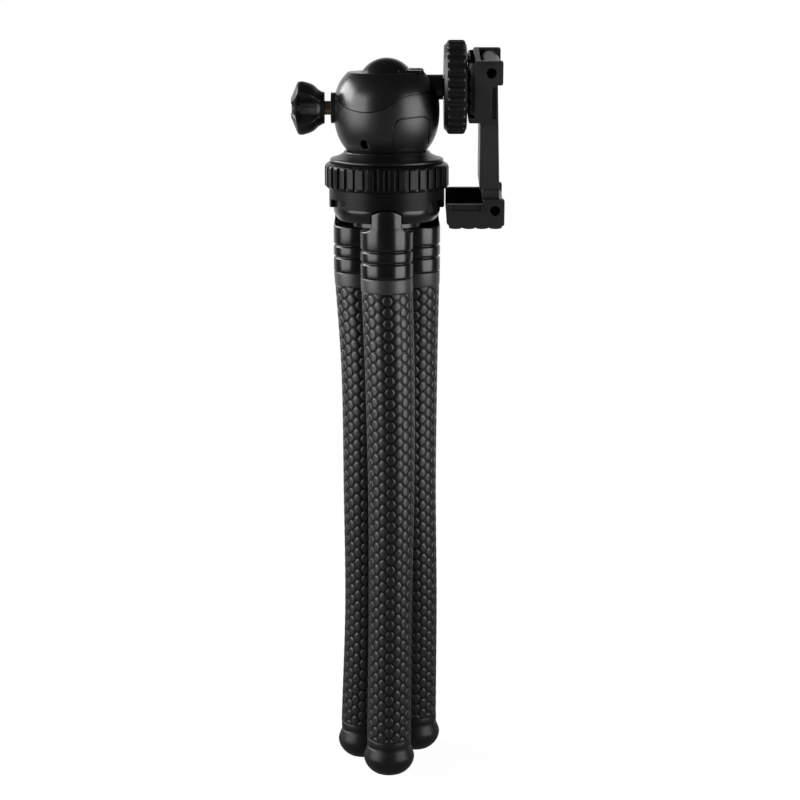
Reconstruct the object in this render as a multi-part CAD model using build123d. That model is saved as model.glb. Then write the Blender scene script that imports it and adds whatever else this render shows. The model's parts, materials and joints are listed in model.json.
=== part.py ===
from build123d import *
import os
from math import cos, pi, radians, sin, sqrt

os.makedirs("parts", exist_ok=True)

# A pocket tripod with three bendable legs, a ball head and a folding phone clamp.
# Z is up, the floor is Z = 0 and the Z axis is the axis of the head.
# The ball's stem lies in the drop notch, towards +X. The front leg is towards -Y.

# Clearances
running_gap = 0.1
rest_gap = 0.3
cut_over = 1.0

# Legs: heights of the stacked stretches, from the floor up
foot_height = 17.4
foot_bulb_height = 7.6
foot_bulb_radius = 9.5
foot_flat_radius = 5.4
foot_neck_radius = 8.35
foot_band_height = 3.0
foot_band_depth = 0.5
lower_stretch = 42.6
middle_stretch = 45.0
upper_stretch = 45.0
top_stretch = 36.1
leg_count = 3
leg_gap = 0.92
sleeve_top_radius = 9.5
sleeve_upper_radius = 9.0
sleeve_middle_radius = 8.35
sleeve_lower_radius = 7.9
sleeve_bottom_radius = 8.2
core_radius = 2.6
core_in_foot = 9.0
bend_gap = 0.1

# The closed legs stand round the head's axis, a gap apart at their tops
leg_circle_radius = (2 * sleeve_top_radius + leg_gap) / (2 * sin(pi / leg_count))

# Where each leg's axis lies at the five stations from the cap down, as shares of the leg circle
leg_names = ("front", "right", "left")
front_leg_angle = -90
leg_angles = {name: front_leg_angle + 360 * n / leg_count for n, name in enumerate(leg_names)}
leg_bow_shares = {
    "front": [(0, 0), (0.096, -0.087), (0.135, -0.078), (0.100, -0.061), (0.062, -0.050)],
    "left": [(0, 0), (0.179, -0.135), (0.188, -0.100), (0.179, 0.022), (0.066, 0.200)],
    "right": [(0, 0), (-0.023, 0.317), (-0.010, 0.457), (0.069, 0.674), (0.045, 0.935)],
}

# Leg caps and their tongues
cap_height = 17.1
cap_radius = 9.5
cap_edge = 1.4
cap_groove_depth = 0.5
cap_groove_width = 0.7
cap_lower_groove_height = 5.6
cap_upper_groove_height = 9.9
cap_socket_depth = 12.0
tongue_inset = 0.7
tongue_width = 10.9
tongue_root_radius = 2.6
tongue_crown = 1.5
tongue_inner_radius = 13.2

# Hub, skirt and pan lock ring
head_radius = 20.8
hub_lift = 2.5
hub_bowl_height = 11.5
hub_bowl_radius = 19.2
hub_foot_radius = 17.2
hub_core_radius = 12.5
hub_neck_radius = 17.5
skirt_band_height = 3.6
skirt_tab_height = 6.6
tongue_over_tab = 0.4
skirt_tab_angle = 90
ring_height = 9.1
ring_radius = 22.4
ring_shoulder = 1.9
ring_foot_chamfer = 1.0
ring_rib_count = 36
ring_groove_share = 0.42
ring_groove_depth = 0.75
ring_groove_margin = 1.0

# Flange under the ball housing
flange_sink = 0.5
flange_height = 4.6
flange_radius = 20.1
flange_rim_height = 2.0
flange_rim_round = 0.7
flange_neck_radius = 14.9
washer_thickness = 0.4
washer_radius = 13.5

# Centre bolt
bolt_radius = 3.0
bolt_head_radius = 5.0
bolt_head_height = 3.0

# Ball housing
housing_height = 27.7
housing_foot_radius = 14.5
housing_belly_radius = 19.0
housing_rim_radius = 14.6
housing_belly_height = 14.6
housing_top_edge = 0.6
ball_height = 22.3
ball_radius = 10.5
ball_gap = 0.3
throat_radius = 9.2
stem_radius = 4.5
notch_gap = 0.3
lip_height = 1.0
lip_wall = 3.4
lip_end_radius = 13.4
seam_gap = 0.2
lower_cavity_radius = 5.6
lower_cavity_floor = 5.0
cup_bore_radius = 8.6
cup_shelf_height = 9.2
cup_height = 6.6
cup_gap = 0.1
set_screw_radius = 1.7
set_screw_height = 2.9
set_screw_length = 5.0
set_screw_angle = -118
set_screw_recess = 1.0

# The S-shaped parting line, as shares of the belly radius across and of the housing height up
seam_shares = [
    (-1.16, 1.06),
    (-1.0, 0.80),
    (-0.86, 0.61),
    (-0.60, 0.54),
    (-0.28, 0.530),
    (0.06, 0.61),
    (0.34, 0.722),
    (0.62, 0.75),
    (1.16, 0.715),
]

# Panel line on the front of the housing, as shares of the same sizes
panel_left_share = 0.10
panel_right_share = 0.79
panel_top_share = 0.445
panel_bottom_share = 0.08
panel_slope_share = 0.05
panel_corner = 3.2
panel_line_width = 0.45
panel_line_depth = 0.35

# Clamp screw and wing knob, on an axis along X through the housing
screw_height = 14.9
screw_radius = 2.5
screw_tip_radius = 1.2
boss_radius = 5.5
boss_rise = 1.0
boss_reach = housing_belly_radius + boss_rise
knob_travel = 2.3
knob_start = boss_reach + knob_travel
knob_hub_radius = 5.6
knob_length = 12.6
knob_wing_radius = 9.7
knob_wing_position = 9.0
knob_wing_count = 3
knob_flare_share = 0.8
knob_back_share = 0.67
knob_valley_angle = 90
knob_valley_radius = 3.4
knob_valley_start = 5.3
knob_valley_end = 2.2
knob_bore_depth = 8.0

# Stem, camera screw and lock wheel
wheel_clear = 1.5
wheel_start = housing_belly_radius + wheel_clear
stem_end = wheel_start - rest_gap
thread_radius = 3.15
stud_start = 12.0
stud_length = 12.1
stud_end = wheel_start + stud_length
wheel_width = 8.1
wheel_radius = 16.8
wheel_edge = 1.1
wheel_rib_count = 28
wheel_rib_radius = 1.2
wheel_rib_height = 0.85
wheel_left_shoulder = 1.0
wheel_right_shoulder = 0.4
wheel_bore_gap = 0.1

# Phone clamp: it hangs from the camera screw, turned a little about it
clamp_turn_angle = 8
clamp_width = 27.0
clamp_wall = 1.7
clamp_side_gap = 0.3
jaw_floor = 2.0
clamp_offset = 16.5
upper_pivot_x = wheel_start + clamp_offset
upper_pivot_w = 7.6
lower_pivot_offset = 1.9
lower_pivot_x = upper_pivot_x + lower_pivot_offset
lower_pivot_w = -42.3
pivot_radius = 1.85
pivot_recess = 1.5
base_jaw_reach = 17.9
base_jaw_heel = 4.3
base_jaw_back = 5.8
base_pad_thickness = 2.2
base_lip_length = 1.9
far_jaw_reach = 17.4
far_jaw_heel = 3.4
far_jaw_back = 5.6
far_jaw_floor = 1.6
far_pad_thickness = 1.4
jaw_wall_rise = 2.35
jaw_knuckle_rise = 4.2
jaw_knuckle_reach = 4.3
jaw_corner = 1.7
jaw_edge = 0.8
jaw_slot_start = 5.0
jaw_slot_end_margin = 1.7
jaw_slot_height = 1.9
jaw_slot_rim = 0.35
jaw_slot_depth = 0.8
pad_inset = 0.8
pad_end_margin = 0.9
pad_end_round = 1.0
pad_wave_count = 3
pad_wave_depth = 0.45
nut_radius = 5.0
bar_inner_gap = 0.1
bar_top_thickness = 6.0
bar_bottom_thickness = 7.1
bar_knuckle_radius = 3.7
bar_seam_w = -34.8
slide_back_gap = 1.2
slide_thickness = 2.6
slide_half_width = 8.2
slide_clearance = 0.15
slide_overlap = 36.0
far_knuckle_thickness = 5.9
far_knuckle_radius = 3.3
spring_radius = 1.2
spring_wire = 0.4
spring_sink = 12.0
spring_offset = 4.6

# Heights worked out from the stack
bend_low_z = foot_height + lower_stretch
bend_mid_z = bend_low_z + middle_stretch
bend_high_z = bend_mid_z + upper_stretch
cap_z = bend_high_z + top_stretch
cap_top_z = cap_z + cap_height
hub_z = cap_top_z + hub_lift
hub_top_z = hub_z + hub_bowl_height
tongue_top_z = hub_top_z - skirt_tab_height + tongue_over_tab
ring_z = hub_top_z + running_gap
ring_top_z = ring_z + ring_height
flange_z = ring_top_z - flange_sink
flange_top_z = flange_z + flange_height
housing_z = flange_top_z + washer_thickness
housing_top_z = housing_z + housing_height
ball_z = housing_z + ball_height
screw_z = housing_z + screw_height
station_z = [cap_z, bend_high_z, bend_mid_z, bend_low_z, foot_height]
last_station = len(station_z) - 1
station_radius = [
    sleeve_top_radius,
    sleeve_upper_radius,
    sleeve_middle_radius,
    sleeve_lower_radius,
    sleeve_bottom_radius,
]


def turned(points):
    """A solid of revolution about Z from (radius, height) points."""
    outline = Plane.XZ * make_face(Polyline(*points, points[0]))
    return revolve(outline, Axis.Z)


def turned_along_x(points, height):
    """A solid of revolution about a line along X at the given height, from (x, radius) points."""
    outline = Plane.XZ * make_face(Polyline(*points, points[0]))
    return Pos(0, 0, height) * revolve(outline, Axis.X)


def rod_z(radius, low, high, x=0, y=0):
    """An upright round bar."""
    return Pos(x, y, low) * Cylinder(radius, high - low, align=(Align.CENTER, Align.CENTER, Align.MIN))


def rod_x(radius, start, end, y=0, z=0):
    """A round bar along X."""
    shape = Rot(0, 90, 0) * Cylinder(radius, end - start, align=(Align.CENTER, Align.CENTER, Align.MIN))
    return Pos(start, y, z) * shape


def rod_y(radius, start, end, x=0, z=0):
    """A round bar along Y."""
    shape = Rot(-90, 0, 0) * Cylinder(radius, end - start, align=(Align.CENTER, Align.CENTER, Align.MIN))
    return Pos(x, start, z) * shape


def block(x0, x1, y0, y1, z0, z1):
    """A box between two corners."""
    size = Box(x1 - x0, y1 - y0, z1 - z0, align=(Align.MIN, Align.MIN, Align.MIN))
    return Pos(x0, y0, z0) * size


def leg_place(name):
    """Where the cap of a leg is on the leg circle."""
    turn = radians(leg_angles[name])
    return leg_circle_radius * cos(turn), leg_circle_radius * sin(turn)


def leg_point(name, station):
    """Where the axis of a leg is at one of its stations."""
    x, y = leg_place(name)
    share_x, share_y = leg_bow_shares[name][station]
    return x + share_x * leg_circle_radius, y + share_y * leg_circle_radius


def leg_stretch(name, station, top_radius, bottom_radius, top_cut, bottom_cut):
    """A leaning round bar between two stations of a leg, cut level at both ends."""
    top_x, top_y = leg_point(name, station)
    low_x, low_y = leg_point(name, station + 1)
    top_z = station_z[station]
    low_z = station_z[station + 1]
    lean_x = (low_x - top_x) / (top_z - low_z)
    lean_y = (low_y - top_y) / (top_z - low_z)
    top = Pos(top_x + lean_x * top_cut, top_y + lean_y * top_cut, top_z - top_cut) * Circle(top_radius)
    low_place = Pos(low_x - lean_x * bottom_cut, low_y - lean_y * bottom_cut, low_z + bottom_cut)
    low = low_place * Circle(bottom_radius)
    return loft([low, top], ruled=True)


def sleeve(name, station):
    """One stretch of a leg's rubber sleeve, with the hole for the core."""
    top_cut = 0 if station == 0 else bend_gap
    outside = leg_stretch(name, station, station_radius[station], station_radius[station + 1], top_cut, 0)
    return outside - leg_stretch(name, station, core_radius, core_radius, top_cut, 0)


def core(name, station):
    """One stretch of the bendable metal core inside a leg."""
    top_cut = 0 if station == 0 else bend_gap
    bar = leg_stretch(name, station, core_radius, core_radius, top_cut, 0)
    if station == 0:
        x, y = leg_point(name, 0)
        return bar + rod_z(core_radius, cap_z, cap_z + cap_socket_depth, x, y)
    if station == last_station - 1:
        x, y = leg_point(name, last_station)
        return bar + rod_z(core_radius, foot_height - core_in_foot, foot_height, x, y)
    return bar


def foot(name):
    """A rubber foot: a flared bulb with a flat tread and a plain band at its neck."""
    x, y = leg_point(name, last_station)
    bulb_rise = foot_height - foot_band_height
    tread = (foot_bulb_radius - foot_flat_radius) / 4
    edge = Line((0, 0), (foot_flat_radius, 0))
    side = Spline(
        (foot_flat_radius, 0),
        (foot_bulb_radius - tread, foot_bulb_height / 4),
        (foot_bulb_radius, foot_bulb_height),
        (foot_bulb_radius - tread / 2, (foot_bulb_height + bulb_rise) / 2),
        (foot_neck_radius, bulb_rise),
    )
    rest = Polyline(
        (foot_neck_radius, bulb_rise),
        (foot_neck_radius - foot_band_depth, bulb_rise),
        (foot_neck_radius - foot_band_depth, bulb_rise + foot_band_depth),
        (foot_neck_radius, bulb_rise + foot_band_depth),
        (foot_neck_radius, foot_height),
        (0, foot_height),
        (0, 0),
    )
    outline = Plane.XZ * make_face([edge, side, *rest.edges()])
    body = revolve(outline, Axis.Z)
    body -= rod_z(core_radius, foot_height - core_in_foot, foot_height + cut_over)
    return Pos(x, y, 0) * body


def tongue(gap):
    """The tongue on top of a cap, for a leg towards +X, grown by a gap for its slot."""
    half = tongue_width / 2 + gap
    root = tongue_root_radius
    low = cap_top_z - cut_over
    top = tongue_top_z + gap
    right = Polyline((half + root, low), (half + root, cap_top_z))
    left = Polyline((-half - root, cap_top_z), (-half - root, low), (half + root, low))
    right_root = RadiusArc((half + root, cap_top_z), (half, cap_top_z + root), root)
    left_root = RadiusArc((-half, cap_top_z + root), (-half - root, cap_top_z), root)
    side_top = top - tongue_crown
    right_side = Line((half, cap_top_z + root), (half, side_top))
    crown = ThreePointArc((half, side_top), (0, top), (-half, side_top))
    left_side = Line((-half, side_top), (-half, cap_top_z + root))
    outline = make_face([*right.edges(), right_root, right_side, crown, left_side, left_root, *left.edges()])
    depth = head_radius - tongue_inner_radius + 2 * gap
    around = rod_z(cap_radius - tongue_inset + gap, cap_top_z, top + cut_over, leg_circle_radius)
    around += rod_z(cap_radius, low - cut_over, cap_top_z, leg_circle_radius)
    face = Plane(origin=(tongue_inner_radius - gap, 0, 0), x_dir=(0, 1, 0), z_dir=(1, 0, 0)) * outline
    slab = extrude(face, depth)
    return slab & around


def cap(name):
    """A metal cap over the top of a leg, with two grooves and a tongue that fits the hub."""
    x, y = leg_place(name)
    r = cap_radius
    d = cap_groove_depth
    half = cap_groove_width / 2
    low = cap_z + cap_lower_groove_height
    high = cap_z + cap_upper_groove_height
    points = [
        (0, cap_z),
        (r, cap_z),
        (r, low - half),
        (r - d, low),
        (r, low + half),
        (r, high - half),
        (r - d, high),
        (r, high + half),
        (r, cap_top_z - cap_edge),
        (r - cap_edge, cap_top_z),
        (0, cap_top_z),
    ]
    barrel = turned(points) - rod_z(core_radius, cap_z - cut_over, cap_z + cap_socket_depth)
    reach = Rot(0, 0, leg_angles[name]) * tongue(0)
    above = rod_z(ring_radius, cap_top_z, tongue_top_z)
    within = rod_z(cap_radius, cap_top_z - cap_edge, cap_top_z, x, y)
    return Pos(x, y, 0) * barrel + (reach & (above + within))


def hub_body():
    """The glossy bowl that carries the legs, with a neck for the lock ring."""
    r = hub_bowl_radius
    lower = Polyline(
        (bolt_radius, hub_z),
        (hub_foot_radius, hub_z),
    )
    bowl = Spline(
        (hub_foot_radius, hub_z),
        ((hub_foot_radius + 3 * r) / 4, hub_z + hub_bowl_height / 6),
        (r, hub_z + hub_bowl_height / 2),
    )
    upper = Polyline(
        (r, hub_z + hub_bowl_height / 2),
        (r, hub_top_z),
        (hub_neck_radius, hub_top_z),
        (hub_neck_radius, flange_z),
        (bolt_radius, flange_z),
        (bolt_radius, hub_z),
    )
    outline = Plane.XZ * make_face([*lower.edges(), bowl, *upper.edges()])
    body = revolve(outline, Axis.Z)
    core_low = cap_top_z + rest_gap
    body += rod_z(hub_core_radius, core_low, hub_z) - rod_z(bolt_radius, core_low, hub_z)
    for name in leg_angles:
        body -= Rot(0, 0, leg_angles[name]) * tongue(running_gap)
    return body


def hub_skirt():
    """The collar below the lock ring: a band with one tab over each leg tongue."""
    inner = hub_bowl_radius + running_gap
    band = rod_z(head_radius, hub_top_z - skirt_band_height, hub_top_z)
    tabs = rod_z(head_radius, hub_top_z - skirt_tab_height, hub_top_z)
    keep = None
    reach = 2 * head_radius
    for name in leg_angles:
        half = radians(skirt_tab_angle / 2)
        side_x = reach * cos(half)
        side_y = reach * sin(half)
        wedge = make_face(Polyline((0, 0), (side_x, -side_y), (side_x, side_y), (0, 0)))
        sector = extrude(Pos(0, 0, hub_z) * wedge, hub_bowl_height)
        sector = Rot(0, 0, leg_angles[name]) * sector
        keep = sector if keep is None else keep + sector
    collar = band + (tabs & keep)
    collar -= rod_z(inner, hub_z - cut_over, hub_top_z + cut_over)
    notch = tongue(rest_gap)
    notch += Pos(2 * tongue_inset, 0, 0) * notch
    for name in leg_angles:
        collar -= Rot(0, 0, leg_angles[name]) * notch
    return collar


def grip_ring():
    """The ribbed pan lock ring around the hub neck and the flange."""
    r = ring_radius
    side = Polyline(
        (hub_neck_radius + running_gap, ring_z),
        (r - ring_foot_chamfer, ring_z),
        (r, ring_z + ring_foot_chamfer),
        (r, ring_top_z - ring_shoulder),
    )
    flange_seat = flange_radius + rest_gap
    shoulder = RadiusArc((r, ring_top_z - ring_shoulder), (r - ring_shoulder, ring_top_z), -ring_shoulder)
    inside = Polyline(
        (r - ring_shoulder, ring_top_z),
        (flange_seat, ring_top_z),
        (flange_seat, flange_z - running_gap),
        (hub_neck_radius + running_gap, flange_z - running_gap),
        (hub_neck_radius + running_gap, ring_z),
    )
    outline = Plane.XZ * make_face([*side.edges(), shoulder, *inside.edges()])
    ring = revolve(outline, Axis.Z)
    width = 2 * pi * r / ring_rib_count * ring_groove_share
    low = ring_z - cut_over
    high = ring_top_z - ring_groove_margin
    groove = block(r - ring_groove_depth, r + cut_over, -width / 2, width / 2, low, high)
    for n in range(ring_rib_count):
        ring -= Rot(0, 0, 360 * n / ring_rib_count) * groove
    return ring


def head_flange():
    """The cone under the ball housing, with a rounded rim."""
    points = [
        (bolt_radius, flange_z),
        (flange_radius - flange_rim_round, flange_z),
        (flange_radius, flange_z + flange_rim_round),
        (flange_radius, flange_z + flange_rim_height - flange_rim_round),
        (flange_radius - flange_rim_round, flange_z + flange_rim_height),
        (flange_neck_radius, flange_top_z),
        (bolt_radius, flange_top_z),
    ]
    return turned(points)


def friction_washer():
    """A thin plastic washer on which the head turns."""
    high = flange_top_z + washer_thickness - running_gap
    disc = rod_z(washer_radius, flange_top_z, high)
    return disc - rod_z(bolt_radius, flange_top_z - cut_over, high + cut_over)


def head_bolt():
    """The centre bolt: its shank is fixed in the hub and its head holds the housing down."""
    seat = housing_z + lower_cavity_floor + running_gap
    shank = rod_z(bolt_radius, hub_z, seat)
    head = rod_z(bolt_head_radius, seat, seat + bolt_head_height)
    return shank + head


def housing_envelope(inset=0):
    """The outer form of the ball housing, shrunk by an inset."""
    foot_r = housing_foot_radius - inset
    belly_r = housing_belly_radius - inset
    rim_r = housing_rim_radius - inset
    top = housing_top_z - inset
    wall = Spline(
        (foot_r, housing_z),
        ((foot_r + 2 * belly_r) / 3, housing_z + housing_belly_height / 3),
        (belly_r, housing_z + housing_belly_height),
        ((rim_r + 4 * belly_r) / 5, (housing_z + housing_belly_height + top) / 2),
        (rim_r, top - housing_top_edge),
    )
    lid = Polyline(
        (rim_r, top - housing_top_edge),
        (rim_r - housing_top_edge, top),
        (0, top),
        (0, housing_z),
        (foot_r, housing_z),
    )
    return revolve(Plane.XZ * make_face([wall, *lid.edges()]), Axis.Z)


def ball_housing():
    """The whole housing before it is split along its parting line."""
    body = housing_envelope()
    half = stem_radius + notch_gap
    lip_half = half + lip_wall
    lip = block(0, lip_end_radius, -lip_half, lip_half, ball_z, housing_top_z + lip_height)
    lip = fillet(lip.edges().filter_by(Axis.Y).group_by(Axis.Z)[-1].sort_by(Axis.X)[-1], lip_height)
    body += lip & rod_z(housing_rim_radius, ball_z, housing_top_z + 2 * lip_height)
    body += rod_x(boss_radius, -boss_reach, -ball_radius, 0, screw_z)
    body -= Pos(0, 0, ball_z) * Sphere(ball_radius + ball_gap)
    body -= rod_z(throat_radius, ball_z, housing_top_z + lip_height + cut_over)
    body -= rod_x(half, 0, housing_belly_radius + cut_over, 0, ball_z)
    body -= block(0, housing_belly_radius + cut_over, -half, half, ball_z, housing_top_z + 2 * lip_height)
    body -= rod_z(cup_bore_radius, housing_z + cup_shelf_height, ball_z - ball_radius / 2)
    cavity_top = housing_z + cup_shelf_height + cut_over
    body -= rod_z(lower_cavity_radius, housing_z + lower_cavity_floor, cavity_top)
    body -= rod_z(bolt_radius + running_gap, housing_z - cut_over, housing_z + lower_cavity_floor + cut_over)
    body -= rod_x(screw_radius + running_gap, -boss_reach - cut_over, -cup_bore_radius / 2, 0, screw_z)
    screw_hole = rod_x(set_screw_radius, bolt_radius, housing_belly_radius, 0, housing_z + set_screw_height)
    body -= Rot(0, 0, set_screw_angle) * screw_hole
    return body - panel_groove()


def panel_groove():
    """The thin engraved line around the arched panel on the front of the housing."""
    r = housing_belly_radius
    left = panel_left_share * r
    right = panel_right_share * r
    top = housing_z + panel_top_share * housing_height
    low = housing_z + panel_bottom_share * housing_height
    slope = panel_slope_share * r
    outer = make_face(
        Polyline((left, low), (left + slope, top), (right + slope, top + slope), (right, low), (left, low))
    )
    corners = outer.vertices().group_by(Axis.Y)
    outer = fillet(corners[-1] + corners[-2], panel_corner)
    inner = offset(outer, -panel_line_width)
    open_foot = Pos((left + right) / 2, low) * Rectangle(2 * r, 2 * panel_line_width)
    band = extrude(Plane.XZ * (outer - inner - open_foot), 2 * r)
    skin = housing_envelope() - housing_envelope(panel_line_depth)
    return band & skin


def seam_tool(drop):
    """Everything above the parting line, moved down by a drop."""
    r = housing_belly_radius
    points = [(x * r, housing_z + z * housing_height - drop) for x, z in seam_shares]
    line = Spline(*points)
    high = housing_top_z + 2 * ball_radius
    frame_line = Polyline(points[-1], (points[-1][0], high), (points[0][0], high), points[0])
    face = Plane.XZ * make_face([line, *frame_line.edges()])
    return extrude(face, 2 * r, both=True)


def largest(shape):
    """The largest solid of a shape, which drops the slivers that a wavy cut can leave."""
    return max(shape.solids(), key=lambda solid: solid.volume)


def housing_halves():
    """The lower housing and the glossy upper cover, split by a thin wavy gap."""
    body = ball_housing()
    upper = largest(body & seam_tool(0))
    lower = largest(body - seam_tool(seam_gap))
    return lower, upper


def ball_cup():
    """The plastic cup under the ball, which the clamp screw wedges up."""
    low = housing_z + cup_shelf_height
    ring = rod_z(cup_bore_radius - cup_gap, low, low + cup_height)
    ring -= Pos(0, 0, ball_z) * Sphere(ball_radius + running_gap)
    return ring - rod_z(lower_cavity_radius, low - cut_over, low + cup_height)


def set_screw():
    """The grub screw in the foot of the housing, which drags on the centre bolt."""
    end = sqrt(housing_foot_radius**2 - set_screw_radius**2)
    height = housing_z + set_screw_height
    screw = rod_x(set_screw_radius, end - set_screw_length, end - set_screw_recess, 0, height)
    return Rot(0, 0, set_screw_angle) * screw


def clamp_screw():
    """The screw that the wing knob turns, with a reduced tip."""
    end = -(cup_bore_radius - cup_gap) - rest_gap
    points = [
        (-knob_start - knob_bore_depth, 0),
        (-knob_start - knob_bore_depth, screw_radius),
        (end - (screw_radius - screw_tip_radius), screw_radius),
        (end, screw_tip_radius),
        (end, 0),
    ]
    return turned_along_x(points, screw_z)


def clamp_knob():
    """The wing knob: a round hub that flares into three wings with valleys between them."""
    start = -knob_start
    end = start - knob_length
    wing = start - knob_wing_position
    hub = knob_hub_radius
    tip = knob_wing_radius
    flare_radius = hub + (tip - hub) * knob_flare_share
    flare = Spline((start, hub), (start - knob_wing_position / 2, flare_radius), (wing, tip))
    back = Spline((wing, tip), (wing + (end - wing) * knob_back_share, tip / 2), (end, 0))
    close = Polyline((end, 0), (start, 0), (start, hub))
    outline = Plane.XZ * make_face([flare, back, *close.edges()])
    body = revolve(outline, Axis.X)
    slope = Vector(-knob_length, 0, knob_valley_end - knob_valley_start)
    valley_foot = (start, 0, knob_valley_start + knob_valley_radius)
    valley = Plane(origin=valley_foot, z_dir=slope) * Cylinder(knob_valley_radius, 4 * knob_length)
    for n in range(knob_wing_count):
        body -= Rot(knob_valley_angle + 360 * n / knob_wing_count, 0, 0) * valley
    body -= rod_x(screw_radius, start - knob_bore_depth, start + cut_over)
    return Pos(0, 0, screw_z) * body


def ball_stem():
    """The ball and its stem in one piece, with a hole for the camera screw."""
    ball = Pos(0, 0, ball_z) * Sphere(ball_radius)
    stem = rod_x(stem_radius, 0, stem_end, 0, ball_z)
    return ball + stem - rod_x(thread_radius, stud_start, stem_end + cut_over, 0, ball_z)


def camera_stud():
    """The quarter inch camera screw that stands out of the stem."""
    chamfer = thread_radius / 5
    points = [
        (stud_start, 0),
        (stud_start, thread_radius),
        (stud_end - chamfer, thread_radius),
        (stud_end, thread_radius - chamfer),
        (stud_end, 0),
    ]
    return turned_along_x(points, ball_z)


def lock_wheel():
    """The wheel that locks what is screwed on: a disc with ribs that are rounded at their ends."""
    rim = wheel_radius - wheel_rib_height
    end = wheel_start + wheel_width
    bore = thread_radius + wheel_bore_gap
    points = [
        (wheel_start, bore),
        (wheel_start, rim - wheel_edge),
        (wheel_start + wheel_edge, rim),
        (end - wheel_edge / 2, rim),
        (end, rim - wheel_edge),
        (end, bore),
    ]
    wheel = turned_along_x(points, ball_z)
    low = wheel_start + wheel_left_shoulder + wheel_rib_radius
    high = end - wheel_right_shoulder - wheel_rib_radius
    height = wheel_radius - wheel_rib_radius
    rib = rod_x(wheel_rib_radius, low, high, 0, height)
    rib += Pos(low, 0, height) * Sphere(wheel_rib_radius)
    rib += Pos(high, 0, height) * Sphere(wheel_rib_radius)
    places = [Rot(360 * n / wheel_rib_count, 0, 0) * rib for n in range(wheel_rib_count)]
    return wheel + [Pos(0, 0, ball_z) * place for place in places]


# The clamp is drawn about the camera screw with Y across it and Z along its bar, then turned.
clamp_frame = Pos(0, 0, ball_z) * Rot(clamp_turn_angle, 0, 0)
base_jaw_plane = Plane(origin=(upper_pivot_x, 0, upper_pivot_w), x_dir=(0, 0, -1), z_dir=(0, -1, 0))
far_jaw_plane = Plane(origin=(lower_pivot_x, 0, lower_pivot_w), x_dir=(-1, 0, 0), z_dir=(0, 1, 0))


def jaw(reach, heel, back, floor):
    """A channel jaw about its pivot: its length along X, its open side towards +Y."""
    half = clamp_width / 2
    side = Polyline(
        (-heel, -back),
        (reach, -back),
        (reach, jaw_wall_rise),
        (jaw_knuckle_reach, jaw_wall_rise),
        (jaw_knuckle_reach, jaw_knuckle_rise),
        (-heel, jaw_knuckle_rise),
        (-heel, -back),
    )
    outline = make_face(side)
    corner = outline.vertices().group_by(Axis.Y)[0].sort_by(Axis.X)[-1]
    outline = fillet(corner, jaw_corner)
    heel_corner = outline.vertices().group_by(Axis.Y)[0].sort_by(Axis.X)[0:1]
    others = outline.vertices().group_by(Axis.Y)[-1] + heel_corner
    outline = fillet(others, jaw_edge)
    body = extrude(outline, half, both=True)
    inside = half - clamp_wall
    over = reach + heel
    body -= block(-over, over, -back + floor, over, -inside, inside)
    slot_end = reach - jaw_slot_end_margin
    slot_high = jaw_wall_rise - jaw_slot_rim
    slot_low = slot_high - jaw_slot_height
    for sign in (-1, 1):
        outer = sign * (half + cut_over)
        inner = sign * (half - jaw_slot_depth)
        low, high = sorted((outer, inner))
        body -= block(jaw_slot_start, slot_end, slot_low, slot_high, low, high)
    return body - Cylinder(pivot_radius, 2 * clamp_width)


def jaw_pad(reach, heel, back, thickness):
    """The rubber pad on the back of a jaw, with a wavy face."""
    start = -heel + pad_inset
    end = reach - pad_end_margin
    face_y = -back - thickness
    step = (end - pad_end_round - start) / (2 * pad_wave_count)
    low = [(start + n * step, face_y + (n % 2) * pad_wave_depth) for n in range(2 * pad_wave_count + 1)]
    wave = Spline(*low, tangents=[(1, 0), (1, 0)])
    turn = RadiusArc(low[-1], (end, face_y + pad_end_round), -pad_end_round)
    rest = Polyline((end, face_y + pad_end_round), (end, -back), (start, -back), low[0])
    outline = make_face([wave, turn, *rest.edges()])
    return extrude(outline, clamp_width / 2 - pad_inset, both=True)


def base_jaw():
    """The jaw on the camera screw, with a lip at its tip and the hole for its threaded insert."""
    start = base_jaw_reach - base_lip_length
    face = -base_jaw_back - base_pad_thickness
    half = clamp_width / 2
    lip = block(start, base_jaw_reach, face, face + base_pad_thickness + jaw_floor, -half, half)
    lip = fillet(lip.edges().filter_by(Axis.Z).group_by(Axis.Y)[0], jaw_edge)
    shape = jaw(base_jaw_reach, base_jaw_heel, base_jaw_back, jaw_floor) + lip
    shape = base_jaw_plane.location * shape
    low = upper_pivot_x - base_jaw_back
    shape -= rod_x(nut_radius, low - cut_over, low + jaw_floor + cut_over)
    return clamp_frame * shape


def base_jaw_pad():
    """The rubber pad between the lock wheel and the base jaw, open round the insert."""
    reach = base_jaw_reach - base_lip_length
    pad = jaw_pad(reach, base_jaw_heel, base_jaw_back, base_pad_thickness)
    shape = base_jaw_plane.location * pad
    back = upper_pivot_x - base_jaw_back
    shape -= rod_x(nut_radius, back - base_pad_thickness - cut_over, back + cut_over)
    return clamp_frame * shape


def nut_insert():
    """The threaded metal insert in the base jaw, around the camera screw."""
    back = upper_pivot_x - base_jaw_back
    start = back - base_pad_thickness + pad_wave_depth
    end = back + jaw_floor
    insert = rod_x(nut_radius, start, end)
    return clamp_frame * (insert - rod_x(thread_radius + running_gap, start - cut_over, end + cut_over))


def pivot_pin(x, w):
    """A pivot pin across the clamp, sunk a little at both ends."""
    half = clamp_width / 2 - pivot_recess
    return clamp_frame * rod_y(pivot_radius - running_gap / 2, -half, half, x, w)


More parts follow.
